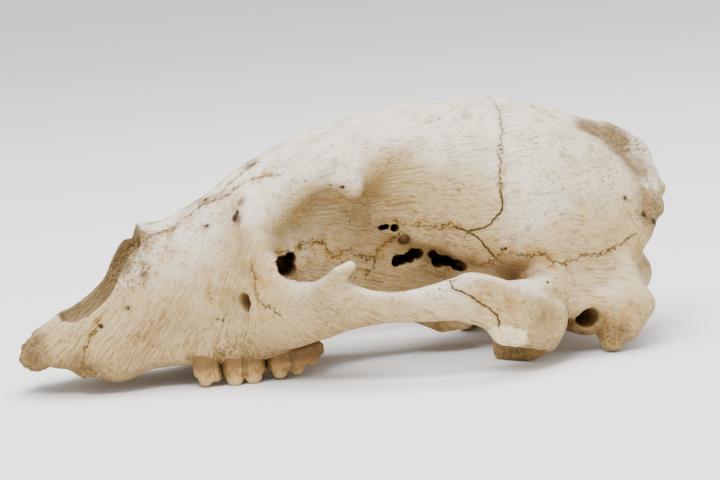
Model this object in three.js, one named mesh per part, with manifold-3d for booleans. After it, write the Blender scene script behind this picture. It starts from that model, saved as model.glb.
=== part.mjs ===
// Skull of an American black bear, the cranium without its lower jaw, life size.
// Millimetres, +Z up. The snout points along -X and the animal's left side faces -Y. The skull
// rests on its cheek teeth, the processes behind the jaw joints and the mastoid processes.
// The bones are one smooth field of rounded bodies, blended as the real sutures have grown
// together. The field is skinned once, bored for its openings and parted with thin cuts.
import * as THREE from "three";
import { mergeVertices } from "three/addons/utils/BufferGeometryUtils.js";
import Module from "manifold-3d";

const wasm = await Module();
wasm.setup();

// Driving dimensions. The bones below are set out along x from the tip of the snout and along z
// from the resting plane, for a skull of the drawn length; the whole is scaled to skullLength.
const drawnLength = 270;
const skullLength = 270;
const gap = 0.3;
const toothTop = 12.5;

// The joint between face and braincase and the joint in each cheek, as lines from [x, z] to
// [x, z], and how far from the middle plane the joint in the cheek begins
const faceJoint = [[84, 104], [124.5, 3]];
const cheekJoint = [[158, 45.5], [190, 2.7]];
const cheekJointFrom = 58;
const farSide = 90;

const boneColour = 0xd9cfbf;
const toothColour = 0xc9a878;

// A smooth curve through stations, as a function of x
function through(xs, ys) {
  const slope = xs.map((x, i) => {
    const a = Math.max(i - 1, 0);
    const b = Math.min(i + 1, xs.length - 1);
    return (ys[b] - ys[a]) / (xs[b] - xs[a]);
  });
  return (x) => {
    if (x <= xs[0]) return ys[0];
    if (x >= xs.at(-1)) return ys.at(-1);
    let i = 0;
    while (x > xs[i + 1]) i += 1;
    const h = xs[i + 1] - xs[i];
    const t = (x - xs[i]) / h;
    const rise = t * t * (3 - 2 * t);
    return (
      ys[i] * (1 - rise) +
      ys[i + 1] * rise +
      h * t * (1 - t) * ((1 - t) * slope[i] - t * slope[i + 1])
    );
  };
}

// Blends of two fields: k is how wide the fillet between them is
function join(a, b, k) {
  const h = Math.max(k - Math.abs(a - b), 0) / k;
  return Math.min(a, b) - (h * h * k) / 4;
}
function carve(a, b, k) {
  return -join(-a, b, k);
}

// A bone whose sections across x are rounded: it is widest at the level mid, and reaches up to
// roof and down to base. A row of stations gives each size along x.
function sections(row) {
  const at = {};
  for (const name of ["y", "half", "roof", "mid", "base", "up", "down"]) {
    const sizes = row[name] ?? 0;
    at[name] = Array.isArray(sizes) ? through(row.x, sizes) : () => sizes;
  }
  const first = row.x[0];
  const last = row.x.at(-1);
  const rounding = row.rounding ?? 6;
  return (p) => {
    const mid = at.mid(p.x);
    const above = p.z > mid;
    const n = above ? at.up(p.x) : at.down(p.x);
    const w = at.half(p.x);
    const h = above ? at.roof(p.x) - mid : mid - at.base(p.x);
    const u = Math.abs(p.y - at.y(p.x)) / w;
    const v = Math.abs(p.z - mid) / h;
    const r = Math.max((u ** n + v ** n) ** (1 / n), 1e-3);
    const steep = Math.hypot(u ** (n - 1) / w, v ** (n - 1) / h) * r ** (1 - n);
    const across = r < 0.02 ? -Math.min(w, h) : (r - 1) / Math.max(steep, 1e-3);
    const beyond = Math.max(first - p.x, p.x - last);
    return -join(-across, -beyond, rounding);
  };
}

// A rod whose thickness changes along a row of [x, y, z, radius] points
function rod(...points) {
  return (p) => {
    let best = 1e9;
    for (let i = 0; i + 1 < points.length; i += 1) {
      const [ax, ay, az, ar] = points[i];
      const [bx, by, bz, br] = points[i + 1];
      const d = [bx - ax, by - ay, bz - az];
      const q = [p.x - ax, p.y - ay, p.z - az];
      const t = THREE.MathUtils.clamp(
        (q[0] * d[0] + q[1] * d[1] + q[2] * d[2]) /
          (d[0] ** 2 + d[1] ** 2 + d[2] ** 2),
        0,
        1,
      );
      const away = Math.hypot(q[0] - t * d[0], q[1] - t * d[1], q[2] - t * d[2]);
      best = Math.min(best, away - ar - t * (br - ar));
    }
    return best;
  };
}

function ball([cx, cy, cz], [rx, ry, rz], turn = 0) {
  const c = Math.cos(turn);
  const s = Math.sin(turn);
  return (p) => {
    const dx = p.x - cx;
    const dz = p.z - cz;
    const q = [c * dx + s * dz, p.y - cy, c * dz - s * dx];
    const near = Math.hypot(q[0] / rx, q[1] / ry, q[2] / rz);
    const steep = Math.hypot(q[0] / rx ** 2, q[1] / ry ** 2, q[2] / rz ** 2);
    return near < 1e-3 ? -Math.min(rx, ry, rz) : (near * (near - 1)) / steep;
  };
}

// An upright wall that follows a line in plan, between two levels given along x
function wall(line, half, low, high) {
  const path = rod(...line.map(([x, y]) => [x, y, 0, half]));
  return (p) => {
    const side = path({ x: p.x, y: p.y, z: 0 });
    const ends = Math.max(low(p.x) - p.z, p.z - high(p.x));
    return -join(-side, -ends, half);
  };
}

// Snout: premaxillae, maxillae and nasal bones
const snout = sections({
  x: [-1.2, 1.4, 4.8, 9.4, 17, 26, 36, 45, 50, 60, 76, 92, 104, 116, 128],
  roof: [17.5, 20, 22.6, 25.6, 30.6, 37.2, 47, 59.4, 63.4, 64, 71.4, 80, 85.6, 90.6, 93],
  mid: [14.8, 15, 15.5, 16, 17, 18, 19, 20, 21, 22, 24, 27, 29, 31, 40],
  base: [11.4, 9.8, 9.4, 10.8, 9.6, 7.2, 4.8, 6, 7.2, 8.4, 7.8, 7.8, 8.6, 11.4, 22],
  half: [7, 10.5, 14.4, 17.8, 21, 24, 25.5, 26, 26, 29, 34.4, 36, 35.5, 31, 24],
  up: [2.4, 2.4, 2.6, 2.8, 3.2, 3.4, 3.2, 3, 2.4, 2, 1.9, 1.9, 2, 2, 2],
  down: [2.6, 2.6, 3, 3, 4, 5, 5, 5, 5, 6, 8, 8, 7, 5, 3],
  rounding: 4,
});
const canineRoot = rod([27, 20, 13.5, 7.2], [36, 20.5, 14.2, 8.6], [52, 20.5, 33, 4.5]);

// Forehead: the frontal bones, with the rim over each eye socket and its process behind
const forehead = sections({
  x: [86, 97, 108, 118, 127, 135, 143, 154, 166],
  roof: [75, 81, 87, 91.2, 94, 95.8, 97, 98.4, 99.6],
  mid: [60, 66, 71, 76, 78, 78, 76, 72, 70],
  base: [40, 46, 52, 60, 64, 62, 56, 50, 46],
  half: [26, 31, 34, 37, 39, 38, 34, 30, 27],
  up: 2.3,
  down: 2,
});
const socketRim = rod(
  [99, 41, 42, 5],
  [93.5, 35, 50, 6],
  [95, 32, 60, 6],
  [104, 32.5, 71, 5.6],
  [114, 36, 79, 5],
  [124, 38.6, 81, 5],
  [131.6, 42, 74, 3.4],
);
const templeLine = rod([130, 36, 78, 6], [146, 27, 84, 6], [170, 16, 91, 6], [205, 5, 91.6, 5]);

// The wall between the eye sockets, and the box behind the palate
const socketWall = sections({
  x: [92, 104, 118, 134, 150, 166, 180],
  roof: [76, 80, 84, 88, 90, 90, 90],
  mid: [50, 52, 55, 57, 58, 58, 58],
  base: [14, 16, 18, 21, 24, 26, 26],
  half: [31, 28, 26, 25.5, 28, 33, 37],
  up: 3,
  down: 2.6,
});
const palateBack = sections({
  x: [104, 118, 130, 143, 156, 170, 184],
  roof: [40, 40, 40, 40, 40, 40, 38],
  mid: [26, 26, 27, 27, 27, 26, 26],
  base: [12, 14, 15, 15.5, 14.5, 12.5, 15],
  half: [30, 25, 20.5, 18, 17, 16.5, 16],
  up: 3,
  down: 5,
});
const hamulus = rod([158, 14, 18, 3.6], [168, 14.2, 12.6, 3.6], [178, 14.4, 12.4, 3]);

const braincase = sections({
  x: [138, 150, 162, 176, 190, 205, 220, 233, 244, 253, 259],
  roof: [95.5, 97.4, 99.4, 101.4, 101, 98.4, 93, 86.4, 78, 68, 58],
  mid: [68, 64, 58, 53, 50, 48, 47, 47, 47, 47, 46],
  base: [54, 44, 34, 28, 25, 23, 22, 22, 26, 35, 45],
  half: [31, 32, 36, 41, 44.5, 46.2, 45.5, 42, 36, 27, 16],
  up: 2.15,
  down: 3,
});

// Back of the skull
const crown = rod(
  [214, 0, 88.4, 6],
  [234, 0, 82.6, 6],
  [243, 0, 81, 6],
  [249, 0, 77, 6],
  [254, 0, 72, 5.4],
);
const inion = rod([255, 0, 70, 4.4], [262.8, 0, 57, 5]);
const nuchalCrest = rod(
  [253.4, 0, 73, 5],
  [257.4, 9.4, 64, 5],
  [257, 18, 53, 5],
  [250.6, 27, 47.4, 5],
  [243.6, 34, 40.4, 4.6],
  [238.6, 40, 33, 4.6],
  [238.4, 44.6, 24, 5],
);
const occiput = ball([236, 0, 47], [16, 38, 30]);
const skullBase = sections({
  x: [150, 165, 185, 205, 225, 243, 250],
  roof: 50,
  mid: [34, 34, 34, 34, 34, 34, 36],
  base: [27, 26, 25, 23.5, 21, 19.5, 22],
  half: [12, 14, 16, 18, 18, 20, 18],
  up: 3,
  down: 3.5,
});
const condyle = ball([247, 15.5, 25.5], [8.5, 8.4, 9], -0.5);
const mastoid = rod([237, 42, 16, 8.6], [233, 46, 11, 7.8], [229.6, 49, 4.8, 4.8]);
const mastoidEdge = rod([243, 46.4, 17.6, 4.2], [237, 48, 10.6, 4.2]);
const besideCondyle = rod([242, 33, 24, 7], [240, 35, 11, 4.2]);
const earFlare = rod([204, 44, 25, 7], [214, 43, 25, 7.4], [226, 42.6, 25, 7.4], [237, 40, 23, 6.4]);
const earShelf = rod(
  [205, 52, 21, 4.4],
  [214, 49.8, 20.8, 4.2],
  [225, 50, 20.6, 4],
  [235, 49.4, 19.4, 4],
  [243, 46.6, 17.6, 4],
);
const bulla = ball([213, 25, 19.5], [15, 13, 7.5]);
const earTube = rod([213, 30, 17, 8], [220.4, 42, 14.6, 7.6]);

// Cheek: one arch from the upper jaw, round the eye socket, back to the ear
const arch = sections({
  x: [82, 89, 96, 104, 111, 116, 121, 125.6, 133, 142, 154, 163, 173, 182, 189, 198],
  y: [25, 32, 39, 46.5, 53, 58, 61, 63, 66, 69, 72.3, 73.2, 73.4, 71.5, 67.5, 59],
  roof: [38, 44, 44, 41, 41, 41.4, 41, 39.6, 37, 35.8, 37.8, 39.8, 39.8, 37, 33.6, 27],
  mid: [26, 30, 31, 30, 30, 31.5, 32, 31.5, 30.5, 30, 30.5, 31, 29.5, 26, 22, 17],
  base: [14, 13.5, 14, 15.5, 18, 20, 22, 23, 24, 24.3, 24, 23.5, 21.4, 15, 12, 12],
  half: [13, 11.5, 10, 8.4, 7, 6, 5.4, 5, 4.6, 4.2, 4, 4, 4.4, 5, 5, 5],
  up: [2.4, 2.4, 2.3, 2.2, 2, 1.8, 1.8, 1.9, 2.2, 2.4, 2.4, 2.4, 2.8, 3.4, 3.4, 3],
  down: 2.5,
  rounding: 10,
});
const archPeak = rod([117, 59, 38.6, 4.2], [121, 61, 43.6, 3.6], [125, 62, 46.6, 2.4]);
const cheekPlate = wall(
  [[170, 73.4], [180, 75], [188, 73.4], [197, 66], [205, 57], [211, 51]],
  4.4,
  through([170, 174, 178, 184, 191, 197, 202, 207, 211], [21.4, 18.4, 13, 11, 9.6, 7.4, 7.4, 12.4, 17]),
  through([170, 178, 188, 197, 205, 211], [40.8, 38.4, 34.4, 29.6, 24.6, 20.6]),
);
const archRoot = rod([190, 62, 21, 6], [198, 55, 21.5, 7.5], [207, 45, 23.5, 9]);
const jawStop = wall(
  [[205, 60], [198.5, 52], [187.6, 37]],
  3.7,
  through([180, 192, 196.5, 201, 205.6, 210], [0.3, 0.3, 1, 4.6, 10, 14.6]),
  () => 23,
);

// Hollows
const noseCavity = sections({
  x: [16.5, 20, 26, 36, 43, 48.5, 51, 60, 76, 90],
  roof: [44, 52, 60, 70, 76, 72, 56, 56, 58, 60],
  mid: [30, 33, 36, 38, 39, 39, 39, 40, 42, 46],
  base: [22, 20, 19, 19.5, 20.5, 21, 21.5, 23, 26, 34],
  half: [11, 16, 18.8, 19, 17.4, 17, 17, 16.6, 12, 8],
  up: 2.6,
  down: 2.6,
  rounding: 3,
});
const palate = sections({
  x: [4, 16, 30, 50, 75, 100, 122, 146],
  roof: [13, 14.5, 16, 17.5, 18.5, 19, 19.5, 20],
  mid: 2,
  base: -20,
  half: [8, 12, 14.5, 17, 19.5, 20.5, 19, 15],
  up: 2.4,
  down: 2,
});
const throat = sections({
  x: [126, 140, 152, 168, 184, 196],
  roof: [30, 32, 31, 29, 26, 23],
  mid: [26, 26, 12, 10, 8, 6],
  base: [22, 20.5, -10, -10, -10, -10],
  half: [8, 10, 11, 11, 12, 14],
  up: 3,
  down: 3,
});
const jawSocket = rod([183.6, 34, 10.5, 7.4], [187, 60, 10.5, 6.6]);
const eyeSocket = ball([121, 47, 60.2], [23, 22, 19], 0.1);
const fissure = rod([148, 31, 47, 4], [161, 34.5, 40.5, 6.6], [180, 40, 31, 6]);
const cheekGroove = ball([80.6, 39, 32.5], [5.6, 6.5, 10], 0.3);
const neckHole = ball([252, 0, 33], [26, 13, 10], -0.15);

// The whole field: bones are joined from the inside out, then hollowed
function bone(q) {
  const p = { x: q.x, y: Math.abs(q.y), z: q.z };
  let d = join(snout(p), canineRoot(p), 6);
  d = join(d, socketWall(p), 8);
  d = join(d, forehead(p), 6);
  d = join(d, palateBack(p), 6);
  d = join(d, braincase(p), 8);
  d = join(d, templeLine(p), 7);
  d = join(d, skullBase(p), 6);
  d = join(d, arch(p), 6);
  d = carve(d, eyeSocket(p), 4);
  d = join(d, archPeak(p), 4);
  d = join(d, socketRim(p), 6);
  d = join(d, occiput(p), 6);
  d = join(d, crown(p), 7);
  d = join(d, inion(p), 5);
  d = join(d, nuchalCrest(p), 7);
  d = join(d, archRoot(p), 8);
  d = join(d, earFlare(p), 8);
  d = join(d, earShelf(p), 5);
  d = join(d, cheekPlate(p), 3);
  d = join(d, bulla(p), 4);
  d = join(d, earTube(p), 3);
  d = join(d, join(mastoid(p), mastoidEdge(p), 5), 6);
  d = join(d, besideCondyle(p), 5);
  d = carve(d, fissure(p), 2.5);
  d = carve(d, cheekGroove(p), 1.8);
  d = carve(d, neckHole(p), 3);
  d = join(d, condyle(p), 4);
  d = carve(d, jawSocket(p), 4);
  d = join(d, jawStop(p), 4);
  d = carve(d, noseCavity(p), 2);
  d = carve(d, palate(p), 5);
  d = carve(d, throat(p), 3);
  d = join(d, hamulus(p), 3);
  return d;
}

// Grid lines from a start, each stretch given as where it ends and how wide its cells are
function lines(start, ...stretches) {
  const all = [start];
  for (const [end, cell] of stretches) {
    const from = all.at(-1);
    const count = Math.round((end - from) / cell);
    for (let i = 1; i <= count; i += 1) all.push(from + ((end - from) * i) / count);
  }
  return all;
}

// Skins a field with one vertex in each cell that its surface crosses, or two where two sheets
// pass through the same cell, so that the skin stays closed. A vertex stands where the planes
// that touch the surface around it meet, which keeps the ridges of the bone.
function skin(field, xs, ys, zs) {
  const ticks = [xs, ys, zs];
  const n = ticks.map((list) => list.length);
  const step = [1, n[0], n[0] * n[1]];
  const point = (at) => new THREE.Vector3(xs[at[0]], ys[at[1]], zs[at[2]]);
  const value = new Float32Array(n[0] * n[1] * n[2]);
  const flat = (at) => at[0] + at[1] * step[1] + at[2] * step[2];
  function eachCell(first, visit) {
    for (let k = first; k + 1 < n[2]; k += 1)
      for (let j = first; j + 1 < n[1]; j += 1)
        for (let i = first; i + 1 < n[0]; i += 1) visit([i, j, k]);
  }
  for (let k = 0; k < n[2]; k += 1)
    for (let j = 0; j < n[1]; j += 1)
      for (let i = 0; i < n[0]; i += 1) value[flat([i, j, k])] = field(point([i, j, k]));

  const corners = [...Array(8).keys()];
  const bits = (corner) => [corner & 1, (corner >> 1) & 1, (corner >> 2) & 1];
  const edges = [];
  for (const c of corners)
    for (const axis of [0, 1, 2]) if (!bits(c)[axis]) edges.push([c, c | (1 << axis), axis]);
  const edgeOf = (a, b) =>
    edges.findIndex((edge) => edge[0] === Math.min(a, b) && edge[1] === Math.max(a, b));
  const faces = [];
  for (const axis of [0, 1, 2])
    for (const side of [0, 1]) {
      const [u, v] = [1 << ((axis + 1) % 3), 1 << ((axis + 2) % 3)];
      const c = side << axis;
      const ring = [c, c | u, c | u | v, c | v];
      faces.push(
        ring.map((corner, i) => ({
          corner,
          next: edgeOf(corner, ring[(i + 1) % 4]),
          last: edgeOf(corner, ring[(i + 3) % 4]),
        })),
      );
    }

  // Where the surface crosses a grid edge, and the plane that touches it there
  const crossings = new Map();
  const reach = 0.5;
  function crossing(at, axis) {
    const key = flat(at) * 3 + axis;
    if (crossings.has(key)) return crossings.get(key);
    const a = value[flat(at)];
    const b = value[flat(at) + step[axis]];
    const far = [...at];
    far[axis] += 1;
    const p = point(at).lerp(point(far), a / (a - b));
    const d = field(p);
    const beside = (k, far) => field({ ...p, [k]: p[k] + far });
    const slope = (k) => (beside(k, reach) - beside(k, -reach)) / 2 / reach;
    const normal = new THREE.Vector3(slope("x"), slope("y"), slope("z"));
    const steep = Math.max(normal.length(), 0.3);
    normal.normalize();
    const found = { p, normal, level: normal.dot(p) - d / steep };
    crossings.set(key, found);
    return found;
  }
  function meeting(found, at) {
    const middle = new THREE.Vector3();
    for (const { p } of found) middle.addScaledVector(p, 1 / found.length);
    const pull = 0.12;
    const sum = middle.clone().multiplyScalar(pull);
    const m = [pull, 0, 0, 0, pull, 0, 0, 0, pull];
    for (const { normal, level } of found) {
      sum.addScaledVector(normal, level);
      const g = normal.toArray();
      for (let i = 0; i < 9; i += 1) m[i] += g[Math.floor(i / 3)] * g[i % 3];
    }
    const v = sum.applyMatrix3(new THREE.Matrix3().set(...m).invert());
    return v.clamp(point(at), point(at.map((i) => i + 1)));
  }

  const position = [];
  const sheet = new Map();
  eachCell(0, (at) => {
    const origin = flat(at);
    const inside = corners.map((c) => {
      const [i, j, k] = bits(c);
      return value[origin + i * step[0] + j * step[1] + k * step[2]] < 0;
    });
    if (inside.every((s) => s === inside[0])) return;
    const group = edges.map((_, e) => e);
    const root = (e) => (group[e] === e ? e : root(group[e]));
    for (const face of faces) {
      const crossed = face.filter((f, i) => inside[f.corner] !== inside[face[(i + 1) % 4].corner]);
      if (crossed.length === 2) group[root(crossed[0].next)] = root(crossed[1].next);
      if (crossed.length === 4)
        for (const f of face) if (inside[f.corner]) group[root(f.next)] = root(f.last);
    }
    const found = new Map();
    edges.forEach(([a, b, axis], e) => {
      if (inside[a] === inside[b]) return;
      const near = bits(a).map((bit, i) => at[i] + bit);
      found.set(root(e), [...(found.get(root(e)) ?? []), crossing(near, axis)]);
    });
    const made = new Map();
    for (const [r, list] of found) {
      made.set(r, position.length / 3);
      position.push(...meeting(list, at).toArray());
    }
    sheet.set(origin, edges.map((_, e) => made.get(root(e))));
  });

  const index = [];
  eachCell(1, (at) => {
    const origin = flat(at);
    for (const axis of [0, 1, 2]) {
      const a = value[origin] < 0;
      if (a === value[origin + step[axis]] < 0) continue;
      const [u, v] = [(axis + 1) % 3, (axis + 2) % 3];
      const ring = [[1, 1], [0, 1], [0, 0], [1, 0]].map(([du, dv]) => {
        const corner = (du << u) | (dv << v);
        const edge = edgeOf(corner, corner | (1 << axis));
        return sheet.get(origin - du * step[u] - dv * step[v])[edge];
      });
      if (!a) ring.reverse();
      const [p0, p1, p2, p3] = ring;
      index.push(p0, p1, p2, p0, p2, p3);
    }
  });
  return new THREE.BufferGeometry()
    .setAttribute("position", new THREE.BufferAttribute(new Float32Array(position), 3))
    .setIndex(index);
}

// Between three.js geometry and solids that can be cut
function solid(geometry) {
  const bare = geometry.clone();
  bare.deleteAttribute("normal");
  bare.deleteAttribute("uv");
  const merged = mergeVertices(bare, 1e-4);
  return new wasm.Manifold(
    new wasm.Mesh({
      numProp: 3,
      vertProperties: merged.attributes.position.array,
      triVerts: new Uint32Array(merged.index.array),
    }),
  );
}

// A round bore from one point to another, between two radii
function bore(from, to, r0, r1 = r0) {
  const [a, b] = [new THREE.Vector3(...from), new THREE.Vector3(...to)];
  const run = b.clone().sub(a);
  const tube = new THREE.CylinderGeometry(r1, r0, run.length(), 9);
  tube.applyQuaternion(
    new THREE.Quaternion().setFromUnitVectors(new THREE.Vector3(0, 1, 0), run.clone().normalize()),
  );
  return solid(tube.translate(...a.add(b).divideScalar(2).toArray()));
}

function geometryOf(made) {
  const mesh = made.getMesh();
  return new THREE.BufferGeometry()
    .setAttribute("position", new THREE.BufferAttribute(mesh.vertProperties, 3))
    .setIndex(new THREE.BufferAttribute(mesh.triVerts, 1));
}

// Cheek teeth of the left side of the upper jaw. Each is a crown with its cusps, as [x, y, z,
// radius] of their tips, and a root that stands in the jaw.
const teeth = {
  premolar: {
    crown: { x: [64.7, 67, 70.2, 73.4, 75], half: [1.6, 3.6, 4.2, 3.8, 2.2], y: 28.6, base: 4.6 },
    cusps: [[69, 30.2, 3.6, 2.4], [73.3, 30.2, 4.8, 1.9], [71.5, 26.6, 5, 1.9]],
  },
  molar_1: {
    crown: { x: [76.2, 78.2, 84.5, 90.8, 92.6], half: [3.6, 5.9, 6.3, 5.9, 3.6], y: 28.6, base: 3.8 },
    cusps: [
      [80.6, 31.6, 2.9, 2.7],
      [87.8, 31.8, 2.9, 2.7],
      [81.2, 25.6, 3.8, 2.4],
      [88.2, 25.6, 3.8, 2.4],
    ],
  },
  molar_2: {
    crown: {
      x: [93.8, 96.2, 103, 111, 117],
      half: [3.8, 6.5, 7, 5.6, 3],
      y: 27.6,
      base: [4.6, 4, 4.2, 5.8, 8.6],
    },
    cusps: [
      [98.6, 31.2, 3.7, 2.7],
      [105.6, 31, 4.4, 2.6],
      [99.6, 24.4, 4.9, 2.3],
      [111.2, 28.4, 7.2, 2.8],
    ],
  },
};
function tooth({ crown, cusps }) {
  const body = sections({ ...crown, roof: toothTop, mid: 8.5, up: 4, down: 3, rounding: 2 });
  const tips = cusps.map(([x, y, z, r]) => ball([x, y, z], [r * 1.15, r, r * 1.1]));
  return (p) => tips.reduce((d, tip) => join(d, tip(p), 2.2), body(p));
}

// A body grown by the gap on every side, to cut its bed in a neighbour
function bedOf(geometry) {
  const box = new THREE.Box3().setFromBufferAttribute(geometry.attributes.position);
  const middle = box.getCenter(new THREE.Vector3());
  const size = box.getSize(new THREE.Vector3());
  return geometry
    .clone()
    .translate(-middle.x, -middle.y, -middle.z)
    .scale(1 + (2 * gap) / size.x, 1 + (2 * gap) / size.y, 1 + (2 * gap) / size.z)
    .translate(middle.x, middle.y, middle.z);
}

// A thin cut: a slab along a line from one [x, z] to another, between two levels of y
function thinCut([x0, z0], [x1, z1], y0, y1) {
  const length = Math.hypot(x1 - x0, z1 - z0);
  const slab = new THREE.BoxGeometry(length, y1 - y0, gap);
  slab.rotateY(-Math.atan2(z1 - z0, x1 - x0));
  return solid(slab.translate((x0 + x1) / 2, (y0 + y1) / 2, (z0 + z1) / 2));
}

const whole = skin(
  bone,
  lines(-9, [70, 4.4], [180, 5.2], [272, 4.4], [278, 3]),
  lines(-87.4, [-57.4, 4.3], [57.4, 5], [87.4, 4.3]),
  lines(-9, [42, 4.1], [66, 4.8], [112, 5.8]),
);

const skull = new THREE.Group();
function add(name, geometry, colour, roughness) {
  const material = new THREE.MeshStandardMaterial({ color: colour, roughness, metalness: 0 });
  const mesh = new THREE.Mesh(geometry, material);
  mesh.name = name;
  skull.add(mesh);
}

// Cut along the joints between the face, the braincase and the cheekbones
let bones = solid(whole);
bones = bones.subtract(thinCut(...faceJoint, -farSide, farSide));
bones = bones.subtract(thinCut(...cheekJoint, -farSide, -cheekJointFrom));
bones = bones.subtract(thinCut(...cheekJoint, cheekJointFrom, farSide));

// Openings in the bone: from, to, and the radius at each end
const openings = {
  earCanal: [[222, 62, 14.8], [218.6, 36, 16], 4.4, 4],
  tearDuct: [[104, 52, 46.5], [101, 19, 46], 5, 3.2],
  cheekNerve: [[80, 44, 32], [97, 30, 33], 4, 3.2],
  sightNerve: [[153.6, 44, 42.6], [157, 12, 43], 4, 3.4],
  jawNerve: [[170.4, 46, 40.4], [173, 12, 40.6], 4, 3.2],
};
for (const side of [-1, 1])
  for (const [from, to, r0, r1] of Object.values(openings)) {
    const mirror = ([x, y, z]) => [x, side * y, z];
    bones = bones.subtract(bore(mirror(from), mirror(to), r0, r1));
  }

for (const [sideName, side] of [["left", -1], ["right", 1]])
  for (const [name, row] of Object.entries(teeth)) {
    const shape = tooth(row);
    const from = row.crown.x[0] - 4;
    const to = row.crown.x.at(-1) + 4;
    const geometry = skin(
      (p) => shape({ x: p.x, y: side * p.y, z: p.z }),
      lines(from, [to, 2.6]),
      side < 0 ? lines(-40, [-16, 2.5]) : lines(16, [40, 2.5]),
      lines(-4, [17, 2.4]),
    );
    bones = bones.subtract(solid(bedOf(geometry)));
    add(`${name}_${sideName}`, geometry, toothColour, 0.35);
  }

const pieces = bones.decompose().sort((a, b) => b.volume() - a.volume());
const [back, face, ...cheeks] = pieces.slice(0, 4).map(geometryOf);
add("braincase", back, boneColour, 0.7);
add("snout", face, boneColour, 0.7);
for (const cheek of cheeks) {
  cheek.computeBoundingBox();
  add(cheek.boundingBox.max.y < 0 ? "cheekbone_left" : "cheekbone_right", cheek, boneColour, 0.7);
}

// The origin goes to the middle of the skull's bounding box, at its resting plane
const box = new THREE.Box3().setFromObject(skull);
const middle = box.getCenter(new THREE.Vector3());
const scale = skullLength / drawnLength;
for (const { geometry } of skull.children)
  geometry.translate(-middle.x, -middle.y, -box.min.z).scale(scale, scale, scale);

export default skull;
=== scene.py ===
import math

import bpy
import numpy as np
from mathutils import Matrix, Vector


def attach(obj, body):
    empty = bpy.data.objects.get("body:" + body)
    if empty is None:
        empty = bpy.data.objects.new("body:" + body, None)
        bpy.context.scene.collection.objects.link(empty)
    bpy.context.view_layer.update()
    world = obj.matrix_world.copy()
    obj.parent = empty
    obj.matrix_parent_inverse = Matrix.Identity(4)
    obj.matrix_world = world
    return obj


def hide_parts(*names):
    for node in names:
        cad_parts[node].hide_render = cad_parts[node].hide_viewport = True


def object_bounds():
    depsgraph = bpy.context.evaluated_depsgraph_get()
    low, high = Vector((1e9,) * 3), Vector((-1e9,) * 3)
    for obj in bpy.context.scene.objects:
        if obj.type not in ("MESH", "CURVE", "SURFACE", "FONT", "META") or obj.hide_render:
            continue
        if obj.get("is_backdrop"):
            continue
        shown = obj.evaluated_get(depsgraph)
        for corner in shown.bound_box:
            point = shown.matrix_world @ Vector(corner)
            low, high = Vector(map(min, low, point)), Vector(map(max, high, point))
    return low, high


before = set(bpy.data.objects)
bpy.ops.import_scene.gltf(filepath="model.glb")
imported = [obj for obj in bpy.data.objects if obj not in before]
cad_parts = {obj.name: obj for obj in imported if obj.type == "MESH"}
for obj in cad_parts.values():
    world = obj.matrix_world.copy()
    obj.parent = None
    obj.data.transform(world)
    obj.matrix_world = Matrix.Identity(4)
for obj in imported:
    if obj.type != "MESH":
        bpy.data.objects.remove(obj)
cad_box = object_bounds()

# The skull is worked out in millimetres, with x from the tip of the snout to the back of the
# head, |y| out from the middle plane and z up from the level that it rests on. MIDDLE brings
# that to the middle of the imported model's box.
MIDDLE = np.array([133.19, 0.0, 0.0])
MM = 0.001
# Grid for the surface of the bones and of the teeth, and the least height above the floor
BONE_CELL = 1.0
TOOTH_CELL = 0.5
FLOOR_GAP = 0.02
random = np.random.default_rng(11)


# Curves and blends of the bone

def through(xs, ys):
    """A smooth curve through stations, as a function of x."""
    xs = np.asarray(xs, float)
    ys = np.asarray(ys, float)
    ahead = np.r_[1:len(xs), len(xs) - 1]
    behind = np.r_[0, 0:len(xs) - 1]
    slope = (ys[ahead] - ys[behind]) / (xs[ahead] - xs[behind])

    def at(x):
        x = np.clip(x, xs[0], xs[-1])
        i = np.clip(np.searchsorted(xs, x, side="right") - 1, 0, len(xs) - 2)
        h = xs[i + 1] - xs[i]
        t = (x - xs[i]) / h
        rise = t * t * (3 - 2 * t)
        bend = h * t * (1 - t) * ((1 - t) * slope[i] - t * slope[i + 1])
        return ys[i] * (1 - rise) + ys[i + 1] * rise + bend

    return at


def join(a, b, k):
    """a and b together, running into each other over k."""
    h = np.maximum(k - np.abs(a - b), 0) / k
    return np.minimum(a, b) - h * h * k / 4


def carve(a, b, k):
    """a with b taken away from it, and the rim rounded over k."""
    h = np.maximum(k - np.abs(a + b), 0) / k
    return np.maximum(a, -b) + h * h * k / 4


def sections(x, half, roof, base, mid, y=0, up=2, down=2, rounding=6):
    """A bone of rounded sections: widest at the level mid, up to roof and down to base."""
    sizes = [through(x, s) if np.ndim(s) else (lambda _, s=s: s)
             for s in (half, roof, base, mid, y, up, down)]
    first, last = x[0], x[-1]

    def field(px, py, pz):
        w, top, low, level, out, n_up, n_down = (size(px) for size in sizes)
        above = pz > level
        n = np.where(above, n_up, n_down)
        h = np.where(above, top - level, level - low)
        u = np.maximum(np.abs(py - out) / w, 1e-4)
        v = np.maximum(np.abs(pz - level) / h, 1e-4)
        r = np.maximum((u ** n + v ** n) ** (1 / n), 1e-3)
        steep = np.hypot(u ** (n - 1) / w, v ** (n - 1) / h) * r ** (1 - n)
        across = np.where(r < 0.02, -np.minimum(w, h), (r - 1) / np.maximum(steep, 1e-3))
        beyond = np.maximum(first - px, px - last)
        return -join(-across, -beyond, rounding)

    return field


def rod(*points):
    """A rod whose thickness changes along a row of (x, y, z, radius) points."""
    def field(px, py, pz):
        best = None
        for a, b in zip(points, points[1:]):
            d = np.subtract(b, a)
            run = d[:3] @ d[:3]
            q = (px - a[0], py - a[1], pz - a[2])
            t = np.clip((q[0] * d[0] + q[1] * d[1] + q[2] * d[2]) / run, 0, 1)
            away = np.sqrt(sum((q[i] - t * d[i]) ** 2 for i in range(3))) - a[3] - t * d[3]
            best = away if best is None else np.minimum(best, away)
        return best

    return field


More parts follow.
